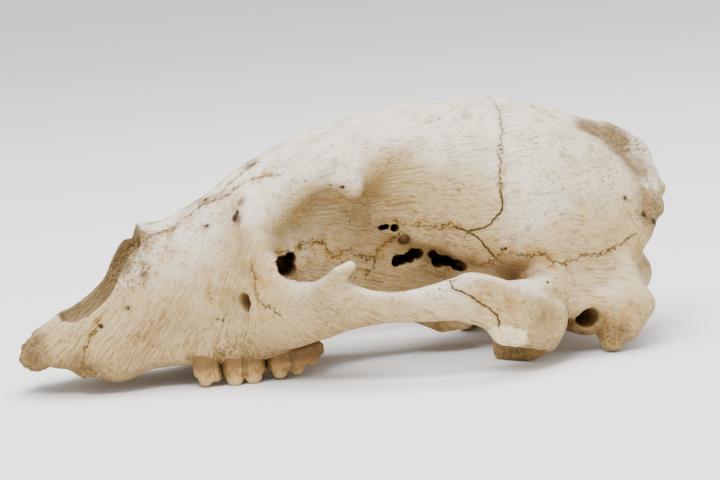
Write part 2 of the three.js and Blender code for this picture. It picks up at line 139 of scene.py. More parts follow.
def ball(centre, radii, turn=0.0):
    """An egg-shaped body, turned in the plane of x and z."""
    c, s = math.cos(turn), math.sin(turn)

    def field(px, py, pz):
        dx, dy, dz = px - centre[0], py - centre[1], pz - centre[2]
        q = (c * dx + s * dz, dy, c * dz - s * dx)
        near = np.sqrt(sum((q[i] / radii[i]) ** 2 for i in range(3)))
        steep = np.sqrt(sum((q[i] / radii[i] ** 2) ** 2 for i in range(3)))
        return np.where(near < 1e-3, -min(radii), near * (near - 1) / np.maximum(steep, 1e-6))

    return field


def wall(line, half, low, high):
    """An upright wall that follows a line in plan, between two levels given along x."""
    path = rod(*[(x, y, 0, half) for x, y in line])

    def field(px, py, pz):
        side = path(px, py, pz * 0)
        ends = np.maximum(low(px) - pz, pz - high(px))
        return -join(-side, -ends, half)

    return field


# Bodies of bone

snout = sections(
    x=[-1.2, 1.4, 4.8, 9.4, 17, 26, 36, 45, 50, 60, 76, 92, 104, 116, 128],
    roof=[17.5, 20, 22.6, 25.6, 30.6, 37.2, 47, 59.4, 63.4, 64, 71.4, 80, 85.6, 90.6, 93],
    mid=[14.8, 15, 15.5, 16, 17, 18, 19, 20, 21, 22, 24, 27, 29, 31, 40],
    base=[11.4, 9.8, 9.4, 10.8, 9.6, 7.2, 4.8, 6, 7.2, 8.4, 7.8, 7.8, 8.6, 11.4, 22],
    half=[7, 10.5, 14.4, 17.8, 21, 24, 25.5, 26, 26, 29, 34.4, 36, 35.5, 31, 24],
    up=[2.4, 2.4, 2.6, 2.8, 3.2, 3.4, 3.2, 3, 2.4, 2, 1.9, 1.9, 2, 2, 2],
    down=[2.6, 2.6, 3, 3, 4, 5, 5, 5, 5, 6, 8, 8, 7, 5, 3],
    rounding=4,
)
canine_root = rod((27, 20, 13.5, 7.2), (36, 20.5, 14.2, 8.6), (52, 20.5, 33, 4.5))
forehead = sections(
    x=[86, 97, 108, 118, 127, 135, 143, 154, 166],
    roof=[75, 81, 87, 91.2, 94, 95.8, 97, 98.4, 99.6],
    mid=[60, 66, 71, 76, 78, 78, 76, 72, 70],
    base=[40, 46, 52, 60, 64, 62, 56, 50, 46],
    half=[26, 31, 34, 37, 39, 38, 34, 30, 27],
    up=2.3,
)
socket_rim = rod(
    (99, 41, 42, 5), (93.5, 35, 50, 6), (95, 32, 60, 6), (104, 32.5, 71, 5.6),
    (114, 36, 79, 5), (124, 38.6, 81, 5), (131.6, 42, 74, 3.4),
)
temple_line = rod((130, 36, 78, 6), (146, 27, 84, 6), (170, 16, 91, 6), (205, 5, 91.6, 5))
socket_wall = sections(
    x=[92, 104, 118, 134, 150, 166, 180],
    roof=[76, 80, 84, 88, 90, 90, 90],
    mid=[50, 52, 55, 57, 58, 58, 58],
    base=[14, 16, 18, 21, 24, 26, 26],
    half=[31, 28, 26, 25.5, 28, 33, 37],
    up=3,
    down=2.6,
)
palate_back = sections(
    x=[104, 118, 130, 143, 156, 170, 184],
    roof=[40, 40, 40, 40, 40, 40, 38],
    mid=[26, 26, 27, 27, 27, 26, 26],
    base=[12, 14, 15, 15.5, 14.5, 12.5, 15],
    half=[30, 25, 20.5, 18, 17, 16.5, 16],
    up=3,
    down=5,
)
hamulus = rod((158, 14, 18, 3.6), (168, 14.2, 12.6, 3.6), (178, 14.4, 12.4, 3))
braincase = sections(
    x=[138, 150, 162, 176, 190, 205, 220, 233, 244, 253, 259],
    roof=[95.5, 97.4, 99.4, 101.4, 101, 98.4, 93, 86.4, 78, 68, 58],
    mid=[68, 64, 58, 53, 50, 48, 47, 47, 47, 47, 46],
    base=[54, 44, 34, 28, 25, 23, 22, 22, 26, 35, 45],
    half=[31, 32, 36, 41, 44.5, 46.2, 45.5, 42, 36, 27, 16],
    up=2.15,
    down=3,
)
crown = rod(
    (214, 0, 88.4, 6), (234, 0, 82.6, 6), (243, 0, 81, 6), (249, 0, 77, 6), (254, 0, 72, 5.4),
)
inion = rod((255, 0, 70, 4.4), (262.8, 0, 57, 5))
nuchal_crest = rod(
    (253.4, 0, 73, 5), (257.4, 9.4, 64, 5), (257, 18, 53, 5), (250.6, 27, 47.4, 5),
    (243.6, 34, 40.4, 4.6), (238.6, 40, 33, 4.6), (238.4, 44.6, 24, 5),
)
occiput = ball((236, 0, 47), (16, 38, 30))
skull_base = sections(
    x=[150, 165, 185, 205, 225, 243, 250],
    roof=50,
    mid=[34, 34, 34, 34, 34, 34, 36],
    base=[27, 26, 25, 23.5, 21, 19.5, 22],
    half=[12, 14, 16, 18, 18, 20, 18],
    up=3,
    down=3.5,
)
condyle = ball((247, 15.5, 25.5), (8.5, 8.4, 9), -0.5)
mastoid = rod((237, 42, 16, 8.6), (233.4, 46, 11, 8), (230, 48.8, 5.3, 5.3))
mastoid_edge = rod((243, 46.4, 17.6, 4.2), (237, 48, 10.6, 4.2))
beside_condyle = rod((242, 33, 24, 7), (240, 35, 11, 4.2))
ear_shelf = rod(
    (205, 52, 21, 4.4), (214, 49.8, 20.8, 4.2), (225, 50, 20.6, 4), (235, 49.4, 19.4, 4),
    (243, 46.6, 17.6, 4),
)
bulla = ball((213, 25, 19.5), (15, 13, 7.5))
ear_flare = rod((204, 44, 25, 7), (214, 43, 25, 7.4), (226, 42.6, 25, 7.4), (237, 40, 23, 6.4))
ear_tube = rod((213, 30, 17, 8), (220.4, 42, 14.6, 7.6))
arch = sections(
    x=[82, 89, 96, 104, 111, 116, 121, 125.6, 133, 142, 154, 163, 173, 182, 189, 198],
    y=[25, 32, 39, 46.5, 53, 58, 61, 63, 66, 69, 72.3, 73.2, 73.4, 71.5, 67.5, 59],
    roof=[38, 44, 44, 41, 41, 41.4, 41, 39.6, 37, 35.8, 37.8, 39.8, 39.8, 37, 33.6, 27],
    mid=[26, 30, 31, 30, 30, 31.5, 32, 31.5, 30.5, 30, 30.5, 31, 29.5, 26, 22, 17],
    base=[14, 13.5, 14, 15.5, 18, 20, 22, 23, 24, 24.3, 24, 23.5, 21.4, 15, 12, 12],
    half=[13, 11.5, 10, 8.4, 7, 6, 5.4, 5, 4.6, 4.2, 4, 4, 4.4, 5, 5, 5],
    up=[2.4, 2.4, 2.3, 2.2, 2, 1.8, 1.8, 1.9, 2.2, 2.4, 2.4, 2.4, 2.8, 3.4, 3.4, 3],
    down=2.5,
    rounding=10,
)
arch_peak = rod((117, 59, 38.6, 4.2), (121, 61, 43.6, 3.6), (125, 62, 46.6, 2.4))
cheek_plate = wall(
    [(170, 73.4), (180, 75), (188, 73.4), (197, 66), (204.6, 57.4)],
    4.4,
    through([170, 174, 178, 184, 191, 197, 202, 207, 211],
            [21.4, 18.4, 13, 11, 9.6, 7.4, 7.4, 12.4, 17]),
    through([170, 178, 188, 197, 205, 211], [40.8, 38.4, 34.4, 29.6, 24.6, 20.6]),
)
arch_root = rod((187, 55, 28, 6), (198, 54, 25.6, 8), (207, 46, 26, 9))
jaw_stop = wall(
    [(205, 60), (198.5, 52), (187.6, 37)],
    3.7,
    through([180, 192, 196.5, 201, 205.6, 210], [0.3, 0.3, 1, 4.6, 10, 14.6]),
    lambda x: 23,
)


# Hollows

nose_cavity = sections(
    x=[16.5, 20, 26, 36, 43, 48.5, 51, 60, 76, 90],
    roof=[44, 52, 60, 70, 76, 72, 58.4, 59, 62, 64],
    mid=[30, 33, 36, 38, 39, 39, 39, 40, 42, 46],
    base=[22, 20, 19, 19.5, 20.5, 21, 21.5, 23, 26, 34],
    half=[12, 17.4, 20.4, 20, 17.4, 17, 17, 16.6, 12, 8],
    up=2.6,
    down=2.6,
    rounding=3,
)
palate = sections(
    x=[4, 16, 30, 50, 75, 100, 122, 146],
    roof=[13, 14.5, 16, 17.5, 18.5, 19, 19.5, 20],
    mid=2,
    base=-20,
    half=[8, 12, 14.5, 17, 19.5, 20.5, 19, 15],
    up=2.4,
)
throat = sections(
    x=[126, 140, 152, 168, 184, 196],
    roof=[30, 32, 31, 29, 26, 23],
    mid=[26, 26, 12, 10, 8, 6],
    base=[22, 20.5, -10, -10, -10, -10],
    half=[8, 10, 11, 11, 12, 14],
    up=3,
    down=3,
)
jaw_socket = rod((183.6, 34, 10.5, 7.4), (187, 60, 10.5, 6.6))
eye_socket = ball((121, 47, 60.2), (23, 22, 19), 0.1)
fissure = rod((148, 31, 47, 4), (161, 34.5, 40.5, 6.6), (180, 40, 31, 6))
cheek_groove = ball((80.6, 39, 32.5), (5.6, 6.5, 10), 0.3)
neck_hole = ball((252, 0, 33), (26, 13, 10), -0.15)

# Small openings, each as a hollow and the rounding of its rim

def ragged(path, size, count, depth=24):
    """Holes side by side, with uneven widths, that together have a torn outline."""
    path = np.array(path, float)
    for t in np.linspace(0, 1, count):
        spot = path[0] + t * (path[-1] - path[0]) + random.uniform(-0.5, 0.5, 3) * size
        wide = size * random.uniform(0.6, 1.1)
        inner = spot - [random.uniform(-1, 1), depth, random.uniform(-1, 1)]
        yield rod((*spot, wide), (*inner, wide * 0.8)), 0.3


small_openings = [
    # Ear canal
    (rod((221.6, 60, 14.6, 5), (217.6, 35, 16, 3.6)), 0.8),
    # Nerve opening below the eye
    (rod((86, 38, 33, 4), (98, 30, 33, 3)), 1),
    # Tear duct
    (rod((103.5, 44, 45.4, 4.2), (102, 16, 45.4, 3.6)), 0.8),
    *ragged([(102.4, 42, 44), (105, 42, 46.4)], 3.6, 4, 26),
    # Nerve openings at the back of the eye socket
    *ragged([(144.4, 40, 56.4), (145.6, 40, 56.8)], 1.2, 2),
    (rod((149.8, 40, 55.6, 1.5), (148, 22, 56, 1.3)), 0.5),
    (rod((152.2, 36, 50.4, 2.4), (152.6, 28, 50.4, 1.8)), 0.8),
    # The three-cornered opening behind the eye
    *ragged([(148.4, 44, 39.8), (159, 44, 45)], 2.2, 7, 32),
    (rod((163, 44, 43.4, 1.9), (164, 22, 43.6, 1.6)), 0.5),
    # The openings behind it
    *ragged([(167, 46, 41), (171.6, 46, 39.6)], 2.5, 4, 34),
    (rod((175.4, 46, 37.4, 2), (174, 24, 38, 1.6)), 0.6),
    # Empty sockets of the front teeth and of the canine
    (rod((2, 3.6, 6, 1.7), (7, 3.8, 17, 1.4)), 0.6),
    (rod((3, 8.4, 6, 1.8), (8.4, 8, 17, 1.5)), 0.6),
    (rod((7, 13.6, 6, 2.1), (12, 13, 18, 1.6)), 0.6),
    (rod((23, 20.5, 1, 4.6), (29, 19.6, 13, 3.6)), 1),
]


def bone(px, py, pz):
    """The whole field of the bones, negative inside them and the same on both sides."""
    py = np.abs(py)
    at = (px, py, pz)
    d = join(snout(*at), canine_root(*at), 6)
    d = join(d, socket_wall(*at), 8)
    d = join(d, forehead(*at), 6)
    d = join(d, palate_back(*at), 6)
    d = join(d, braincase(*at), 8)
    d = join(d, temple_line(*at), 7)
    d = join(d, skull_base(*at), 6)
    d = join(d, arch(*at), 6)
    d = carve(d, eye_socket(*at), 3.4)
    d = join(d, arch_peak(*at), 4)
    d = join(d, socket_rim(*at), 6)
    d = join(d, occiput(*at), 6)
    d = join(d, crown(*at), 7)
    d = join(d, inion(*at), 5)
    d = join(d, nuchal_crest(*at), 7)
    d = join(d, arch_root(*at), 8)
    d = join(d, ear_flare(*at), 8)
    d = join(d, ear_shelf(*at), 5)
    d = join(d, cheek_plate(*at), 3)
    d = join(d, bulla(*at), 4)
    d = join(d, ear_tube(*at), 3)
    d = join(d, join(mastoid(*at), mastoid_edge(*at), 5), 6)
    d = join(d, beside_condyle(*at), 5)
    d = carve(d, fissure(*at), 2.5)
    d = carve(d, cheek_groove(*at), 1.8)
    d = carve(d, neck_hole(*at), 3)
    d = join(d, condyle(*at), 4)
    d = carve(d, jaw_socket(*at), 4)
    d = join(d, jaw_stop(*at), 4)
    d = carve(d, nose_cavity(*at), 2)
    d = carve(d, palate(*at), 5)
    d = carve(d, throat(*at), 3)
    d = join(d, hamulus(*at), 3)
    for hollow, rim in small_openings:
        d = carve(d, hollow(*at), rim)
    return d


# Teeth: the sections of each crown, and its cusps as (x, y, z, radius)

TEETH = {
    "premolar": (
        dict(x=[64.7, 67, 70.2, 73.4, 75.4], half=[2.6, 4, 4.4, 4.2, 3.2], y=28.6, base=4.2),
        [(69, 30.4, 3.4, 2.4), (73.3, 30.6, 4.4, 2.1), (71.5, 26.6, 5, 1.9)],
    ),
    "molar_1": (
        dict(x=[75.9, 78.2, 84.5, 90.8, 93], half=[4.6, 6.1, 6.5, 6.1, 4.6], y=28.6, base=3.6),
        [(80.4, 31.8, 2.9, 2.9), (87.8, 32, 2.9, 2.9),
         (81.2, 25.6, 3.8, 2.4), (88.2, 25.6, 3.8, 2.4)],
    ),
    "molar_2": (
        dict(x=[93.5, 96.2, 103, 111, 117], half=[4.6, 6.6, 7, 5.8, 3.4], y=27.6,
             base=[4.6, 4, 4.2, 5.8, 8.6]),
        [(98.6, 31.2, 3.7, 2.7), (105.6, 31, 4.4, 2.6),
         (99.6, 24.4, 4.9, 2.3), (111.6, 28.4, 7.2, 2.8)],
    ),
}


def tooth(crown_sizes, cusps):
    body = sections(roof=13, mid=9.6, up=4, down=3.4, rounding=1.4, **crown_sizes)
    tips = [ball((x, y, z), (r * 1.15, r, r * 1.1)) for x, y, z, r in cusps]

    def field(px, py, pz):
        d = body(px, py, pz)
        for tip in tips:
            d = join(d, tip(px, py, pz), 1.5)
        return d

    return field


# Skinning

def slope_of(field, p, reach=0.3):
    """How a field grows along x, y and z at each point."""
    g = np.empty_like(p)
    for i in range(3):
        step = np.zeros(3)
        step[i] = reach
        g[:, i] = (field(*(p + step).T) - field(*(p - step).T)) / (2 * reach)
    return g


def way_to(field, p):
    """The move that brings each point to the surface of a field."""
    g = slope_of(field, p)
    size = np.maximum((g * g).sum(1), 0.1)
    return -g * (field(*p.T) / size)[:, None]


def skin(field, low, high, cell, finer=None):
    """The surface of a field as points and four-sided faces, one point in each cell it crosses.

    The points are then laid on the finer field. The grid is filled in slabs, to save memory.
    """
    finer = finer or field
    slab = 24
    axes = [np.arange(a, b + cell, cell) for a, b in zip(low, high)]
    shape = [len(a) for a in axes]
    value = np.empty(shape, np.float32)
    for start in range(0, shape[0], slab):
        xs = axes[0][start:start + slab, None, None]
        value[start:start + slab] = field(xs, axes[1][None, :, None], axes[2][None, None, :])
    inside = value < 0
    corner = [(i, j, k) for i in (0, 1) for j in (0, 1) for k in (0, 1)]

    def shifted(array, c):
        return array[tuple(slice(s, n - 1 + s) for s, n in zip(c, shape))]

    count = sum(shifted(inside, c).astype(np.int8) for c in corner)
    cells = np.argwhere((count > 0) & (count < 8))
    number = np.full([n - 1 for n in shape], -1)
    number[tuple(cells.T)] = np.arange(len(cells))
    total = np.zeros((len(cells), 3))
    crossed = np.zeros(len(cells))
    for a in corner:
        for axis in range(3):
            if a[axis]:
                continue
            b = tuple(c + (i == axis) for i, c in enumerate(a))
            va = value[tuple((cells + a).T)]
            vb = value[tuple((cells + b).T)]
            cut = (va < 0) != (vb < 0)
            t = np.where(cut, va / np.where(cut, va - vb, 1), 0)
            spot = cells + np.array(a, float)
            spot[:, axis] += t
            total += spot * cut[:, None]
            crossed += cut
    points = np.array(low) + cell * total / crossed[:, None]
    for _ in range(2):
        move = way_to(finer, points)
        far = np.linalg.norm(move, axis=1, keepdims=True)
        points += move * np.minimum(1, 0.5 * cell / np.maximum(far, 1e-9))

    faces = []
    for axis in range(3):
        first = np.moveaxis(inside, axis, 0)
        flip = np.argwhere(np.moveaxis(first[:-1] != first[1:], 0, axis))
        u, v = (axis + 1) % 3, (axis + 2) % 3
        flip = flip[(flip[:, u] > 0) & (flip[:, v] > 0)]
        flip = flip[(flip[:, u] < shape[u] - 1) & (flip[:, v] < shape[v] - 1)]
        ring = []
        for du, dv in ((1, 1), (0, 1), (0, 0), (1, 0)):
            place = flip.copy()
            place[:, u] -= du
            place[:, v] -= dv
            ring.append(number[tuple(place.T)])
        ring = np.stack(ring, 1)
        outward = inside[tuple(flip.T)]
        faces.append(np.where(outward[:, None], ring, ring[:, ::-1]))
    return points, np.vstack(faces)


def new_mesh(name, points, faces, normals=None):
    """A smooth piece of the scene, from points in millimetres."""
    mesh = bpy.data.meshes.new(name)
    mesh.from_pydata((points - MIDDLE) * MM, [], faces.tolist())
    mesh.update()
    mesh.polygons.foreach_set("use_smooth", np.ones(len(faces), bool))
    piece = bpy.data.objects.new(name, mesh)
    bpy.context.scene.collection.objects.link(piece)
    if normals is not None:
        mesh.normals_split_custom_set_from_vertices(normals)
    return piece


# Wear: the small unevenness of real bone, and the places that are broken or rough

LATTICE_SIZE = 32
LATTICE = random.random((LATTICE_SIZE,) * 3)


def wobble(px, py, pz, size):
    """Smooth unevenness between -1 and 1 whose lumps have the given size."""
    scaled = [np.asarray(v) / size for v in (px, py, pz)]
    base = [np.floor(v).astype(int) for v in scaled]
    part = [v - b for v, b in zip(scaled, base)]
    part = [t * t * (3 - 2 * t) for t in part]
    total = 0
    for corner in np.ndindex(2, 2, 2):
        weight = 1
        for c, t in zip(corner, part):
            weight = weight * (t if c else 1 - t)
        total = total + weight * LATTICE[
            tuple((b + c) % LATTICE_SIZE for b, c in zip(base, corner))]
    return 2 * total - 1


def nearness(px, py, pz, centre, reach):
    """1 at a place on either side of the skull, falling softly to 0 around it."""
    gap = (px - centre[0]) ** 2 + (np.abs(py) - centre[1]) ** 2 + (pz - centre[2]) ** 2
    return np.exp(-gap / reach ** 2)


# Place, reach, depth and size of the lumps
RUGGED = {
    "snout tip": ((3, 10, 17), 11, 1.7, 2.6),
    "nose rim": ((44, 19, 47), 11, 0.45, 1.8),
    "nasal bone ends": ((50, 8, 61), 8, 0.8, 1.9),
    "top of the crest": ((253, 0, 70), 14, 0.9, 6),
    "side of the crest": ((256, 22, 52), 14, 1.2, 5),
    "muscle pits": ((252, 31, 50), 8, 1.3, 3.4),
    "mastoid": ((231, 52, 8), 9, 0.5, 2.4),
    "below the canine": ((23, 24, 9), 9, 0.9, 2.2),
    "tooth row": ((78, 34, 13), 9, 0.5, 2.2),
    "tooth row, back": ((100, 34, 13), 10, 0.5, 2.2),
    "cheek root": ((185, 74, 14), 9, 0.5, 4),
    "bulla": ((216, 30, 13), 12, 0.5, 3),
}


def worn(px, py, pz):
    """The field of the bone with its unevenness."""
    rough = 0.42 * wobble(px, py, pz, 19) + 0.16 * wobble(px, py, pz, 6)
    for centre, reach, depth, size in RUGGED.values():
        rough = rough + depth * nearness(px, py, pz, centre, reach) * wobble(px, py, pz, size)
    return bone(px, py, pz) - rough


points, faces = skin(bone, (-6, -86, -4), (276, 86, 110), BONE_CELL, worn)
points[:, 2] = np.maximum(points[:, 2], FLOOR_GAP)
normals = slope_of(worn, points)
normals /= np.maximum(np.linalg.norm(normals, axis=1, keepdims=True), 1e-9)

# What the shader knows of a place: how far it lies in a hollow, for the shade painted there; how
# stained and how worn it is; how pale it is, with light from above painted in; and how far it is
# from a seam between two bones. Stains, specks and seams are given on one side and show on both.

one_side = points.copy()
one_side[:, 1] = np.abs(points[:, 1])
# The walls inside the nose and the neck hole: brown stain with painted shade on them
cavity_wall_stain_and_shade = np.clip(1.6 - np.abs(nose_cavity(*one_side.T)), 0, 1)
cavity_wall_stain_and_shade = np.maximum(cavity_wall_stain_and_shade, np.clip(2 - np.abs(neck_hole(*points.T)), 0, 1))
# How closed in each place is, looking out along its normal: the shader paints shade into the
# hollows with it
OUTLOOKS = (2.5, 6, 13, 24)
hollow = sum(np.clip(1 - bone(*(points + normals * d).T) / d, 0, 1.6) for d in OUTLOOKS)
hollow = hollow / len(OUTLOOKS)

# Place, reach and strength of each stain
STAINS = {
    "brown on the crown": [((245, 9, 78), 12, 1.0), ((236, 8, 85), 9, 0.9),
                           ((251, 14, 69), 10, 0.9)],
    "crest": [((256, 26, 52), 11, 0.7), ((252, 32, 50), 6, 0.8), ((246, 40, 38), 6, 0.35)],
    "eye socket roof": [((141, 35, 72), 8, 0.5), ((119, 29, 68), 7, 0.5), ((133, 26, 61), 7, 0.4)],
    "behind the canine": [((21, 24, 10), 8, 1.0), ((28, 22, 6), 6, 0.8), ((14, 18, 10), 6, 0.8)],
    "snout tip": [((2, 9, 17), 12, 1.0), ((8, 13, 13), 7, 0.9)],
    "nose rim": [((42, 19, 50), 5, 1.0), ((45, 19, 57), 5, 1.0), ((49, 13, 61), 6, 1.0),
                 ((49, 22, 52), 4, 0.6)],
    "snout spots": [((89, 25, 72), 3, 0.8), ((87, 27, 65), 3, 0.9), ((77, 5, 71), 5, 0.7),
                    ((49, 22, 46), 2.5, 0.8), ((41, 25, 34), 2, 0.8), ((76, 19, 62), 2, 1.0),
                    ((96, 5, 85), 4, 1.1)],
    "tooth row": [((63.6, 31, 12.4), 3, 0.9), ((75.6, 33, 12.4), 3.4, 1.0),
                  ((93.2, 33, 12.4), 3.6, 1.0), ((69.6, 34, 11.4), 3, 0.6),
                  ((84.5, 35, 11.4), 4, 0.6), ((104, 35, 12), 5, 0.6)],
    "ear": [((222, 44, 14), 8, 1.0), ((219, 42, 9), 10, 1.0), ((224, 48, 9), 6, 0.8)],
    "mastoid": [((231, 53, 8), 8, 0.7), ((242, 36, 59), 2, 0.8), ((227, 50, 18), 3, 0.8)],
    "cheek root": [((190, 45, 4), 12, 1.0), ((198, 52, 5), 9, 0.8), ((198, 66, 22), 12, 0.45)],
    "behind the eye": [((152, 30, 47), 8, 0.7), ((166, 32, 40), 11, 1.0), ((176, 40, 38), 7, 0.8),
                       ((143, 26, 44), 6, 0.3)],
    "condyle": [((252, 16, 27), 6, 0.8)],
    "underside": [((165, 14, 14), 12, 0.8), ((205, 20, 14), 16, 0.6)],
}
OCHRE = {
    "squamosal seam": [((180, 40, 41), 8, 1.0), ((188, 44, 42), 9, 1.0), ((198, 47, 40), 9, 0.9),
                       ((208, 49, 39), 8, 0.8), ((224, 48, 39), 8, 0.6), ((196, 48, 33), 8, 0.7)],
    "nasal seam": [((54, 13, 59), 6, 1.0), ((62, 11, 62), 6, 1.0), ((70, 9, 66), 6, 1.0),
                   ((80, 10, 71), 6, 1.0), ((90, 16, 76), 6, 1.0), ((101, 22, 80), 7, 0.9),
                   ((70, 18, 62), 8, 0.7), ((60, 20, 55), 8, 0.8), ((84, 22, 68), 8, 0.7)],
    "nose rim": [((48, 19, 55), 8, 1.0), ((43, 22, 46), 7, 0.8)],
    "brow": [((130, 37, 82), 9, 0.9), ((118, 34, 82), 8, 0.7), ((138, 34, 76), 8, 0.9),
             ((103, 31, 74), 7, 0.9)],
    "eye socket": [((112, 28, 66), 9, 0.8), ((126, 26, 68), 8, 0.8), ((112, 27, 50), 9, 0.9),
                   ((124, 27, 50), 7, 0.9), ((145, 28, 46), 9, 0.8), ((150, 26, 36), 10, 0.7)],
    "arch": [((186, 78, 28), 10, 0.9), ((174, 78, 34), 8, 0.8), ((140, 66, 33), 12, 0.6),
             ((199, 68, 20), 9, 0.9), ((192, 76, 20), 8, 0.8)],
    "cheek": [((92, 42, 44), 9, 0.8), ((78, 32, 36), 10, 0.7), ((96, 47, 30), 8, 0.8),
              ((60, 27, 30), 10, 0.5), ((112, 52, 34), 8, 0.6)],
    "mastoid": [((232, 52, 10), 11, 1.0), ((238, 50, 17), 8, 1.0)],
    "crest": [((252, 24, 56), 10, 1.0), ((254, 16, 64), 8, 0.8), ((246, 38, 40), 9, 0.8)],
    "crown": [((216, 6, 92), 10, 0.8), ((228, 14, 84), 10, 0.8), ((205, 30, 84), 10, 0.5)],
    "braincase": [((200, 44, 66), 14, 0.45), ((222, 42, 60), 12, 0.5), ((170, 36, 76), 12, 0.45)],
}


def strongest(groups):
    """For each point, how strongly the stains of some groups show there."""
    return np.max([depth * nearness(*points.T, centre, reach)
                   for spots in groups.values() for centre, reach, depth in spots], axis=0)


stain = strongest(STAINS)
ochre = strongest(OCHRE)
rugged = np.max([nearness(*points.T, centre, reach)
                 for centre, reach, _, _ in RUGGED.values()], axis=0)
# Painted light from above: faces turned up and places higher up are paler; the table below makes
# some places paler and some darker
pale_and_top_lit = np.clip(0.5 + 0.55 * normals[:, 2], 0, 1)
pale_and_top_lit *= 0.4 + 0.6 * np.clip((points[:, 2] - 10) / 55, 0, 1)
# Place and reach of the paler and the darker parts of the skull, and how much paler they are
SHADES = {
    "temple": ((150, 33, 68), 20, -0.3),
    "low snout": ((48, 25, 20), 20, -0.1),
    "low braincase": ((215, 46, 50), 26, 0.12),
    "arch": ((150, 73, 36), 26, 0.22),
    "cheek root": ((192, 72, 26), 14, 0.15),
    "brow": ((122, 36, 82), 14, 0.1),
    "forehead": ((120, 0, 90), 40, 0.1),
}
for centre, reach, depth in SHADES.values():
    pale_and_top_lit += depth * nearness(*points.T, centre, reach)

# A pale face, worn smooth, on the lower edge of the cheek's root
pale_face = np.zeros(len(points))
for centre in ((178.2, 78, 16.6), (181.6, 79, 15.6), (185, 78, 14.8)):
    far = np.linalg.norm((one_side - centre) / (4.6, 8, 4.4), axis=1)
    pale_face = np.maximum(pale_face, 2 - far)

# Vessel holes and dark specks, as place and size
SPECKS = [
    ((30.2, 24.4, 28), 1.1), ((73.6, 34.4, 27.8), 0.8), ((75.4, 34.6, 27.4), 0.9),
    ((77.2, 35, 27), 0.9), ((122.7, 43.3, 76.5), 1), ((127.1, 44.7, 75.8), 1),
    ((203.6, 56.4, 31.9), 0.9), ((188.9, 78.2, 28.7), 0.8), ((184.9, 80, 27.4), 0.7),
    ((188.8, 44.1, 44.9), 0.9), ((190.6, 44.3, 45), 0.7), ((229.5, 55.2, 16.3), 0.9),
    ((86.6, 25.2, 65.4), 1.7), ((87.6, 25.2, 67.4), 1.2), ((77.6, 5.1, 71.6), 1.2),
    ((49.1, 21.8, 45.6), 1), ((41.4, 25, 34.1), 0.9), ((76, 19.1, 62.5), 0.8),
    ((242.2, 36.2, 59.4), 1.2), ((250.4, 32.5, 51.3), 1.6), ((254.7, 31.1, 47.9), 1.7),
    ((150.4, 32, 53), 1), ((100, 36, 62), 0.8), ((97, 45, 17), 0.8), ((90, 36, 12), 0.8),
]
specks = np.zeros(len(points))
for centre, size in SPECKS:
    far = np.linalg.norm(one_side - centre, axis=1)
    specks = np.maximum(specks, np.clip(2 - far / size, 0, 2))

# Lines of the fine cracks, and of the seams that run in zigzags
CRACKS = {
    "coronal, low": [(190.5, 42.3, 68), (191, 43.7, 62.2), (189.5, 43.9, 59.2), (184.9, 43.4, 55.2),
                     (180.1, 42.4, 53.6), (176.3, 41.3, 53), (171.8, 39.9, 54.5)],
    "behind the coronal": [(176.3, 41.3, 53), (180.6, 42.4, 48.8), (186.3, 43.1, 41.5)],
    "cheek": [(161.1, 75.6, 40), (161.9, 76.6, 36), (164.9, 77, 35.3), (168, 77.8, 32.8),
              (171.6, 78.8, 30.2), (175.1, 79.7, 27.6), (177.5, 80.2, 24.7), (178.1, 80, 21.1)],
    "cheek, upper side": [(161.1, 75.6, 40), (166, 70, 41), (172, 66, 40)],
}
ZIGZAGS = {
    "coronal": [(198, 0, 100), (196.4, 24.1, 93.7), (194, 32.5, 86.7), (192, 38.8, 77.5),
                (190.5, 42.3, 68.1)],
    "coronal, low": [(176.3, 41.3, 53), (171.8, 39.9, 54.5), (168.6, 38.7, 56.3),
                     (165.8, 37.8, 54.5), (162.1, 36.5, 55.9), (157.6, 34.8, 56.2),
                     (152.8, 33.1, 57.2), (149.8, 32.4, 58.3)],
    "squamosal": [(181.5, 40.2, 38.4), (184.8, 42.2, 39.9), (187.5, 43.6, 42.6),
                  (191.7, 44.8, 43.1), (196.9, 46.3, 40.8), (205.1, 47.9, 41.8),
                  (207.9, 49, 39.6), (213.8, 49.7, 38.7), (220.9, 48.6, 39),
                  (228.3, 47, 39.3), (235.9, 43.2, 41.2), (243.4, 40.1, 44.1)],
    "socket": [(101.2, 34.8, 51.5), (106.5, 30.8, 50.5), (111.1, 27.8, 52), (116.3, 25.9, 52.9),
               (120.2, 25.7, 52), (121.4, 26.8, 48.4), (123.9, 27.4, 45.8), (128.2, 26.3, 47.7),
               (131.2, 26, 48.1), (133.9, 25.2, 45.3), (138.2, 25, 43.6), (141, 25.4, 44.2),
               (143.5, 26.6, 47.7), (147.1, 28.2, 50.4), (148.9, 30.5, 52.5)],
    "socket, low": [(141, 25.4, 44.2), (140.1, 24.6, 40.6), (138, 23.4, 37.4)],
    "nasal": [(49.2, 17.3, 52.6), (53.6, 12.9, 59.2), (58, 10.4, 60.9), (62.8, 11.3, 61.7),
              (69, 9.4, 65.7), (75.1, 8.1, 69.3), (79.8, 9.8, 71.1), (86.7, 15.1, 74.2),
              (93.1, 17.3, 78.2), (99.3, 20.3, 80.3), (104.3, 25.1, 80.7)],
    "nasal, top": [(79.8, 9.8, 71.1), (86.1, 9.3, 76), (91.4, 9, 79.6), (98.4, 6, 83.2),
                   (101, 0, 84)],
    "cheek front": [(89.8, 39.9, 47), (90.2, 42.1, 41), (90.6, 44.4, 34.9), (93.8, 47.3, 31.8),
                    (97.2, 49.9, 29.1)],
    "premaxilla": [(29.6, 23.9, 29.6), (25.4, 24.2, 22.9), (22.3, 25.7, 16.3)],
    "middle of the snout": [(56, 0, 64), (76, 0, 71.4), (100, 0, 84)],
}


def settled(path):
    """The path laid on the surface of the bone."""
    path = np.array(path, float)
    for _ in range(4):
        path += way_to(bone, path)
    return path


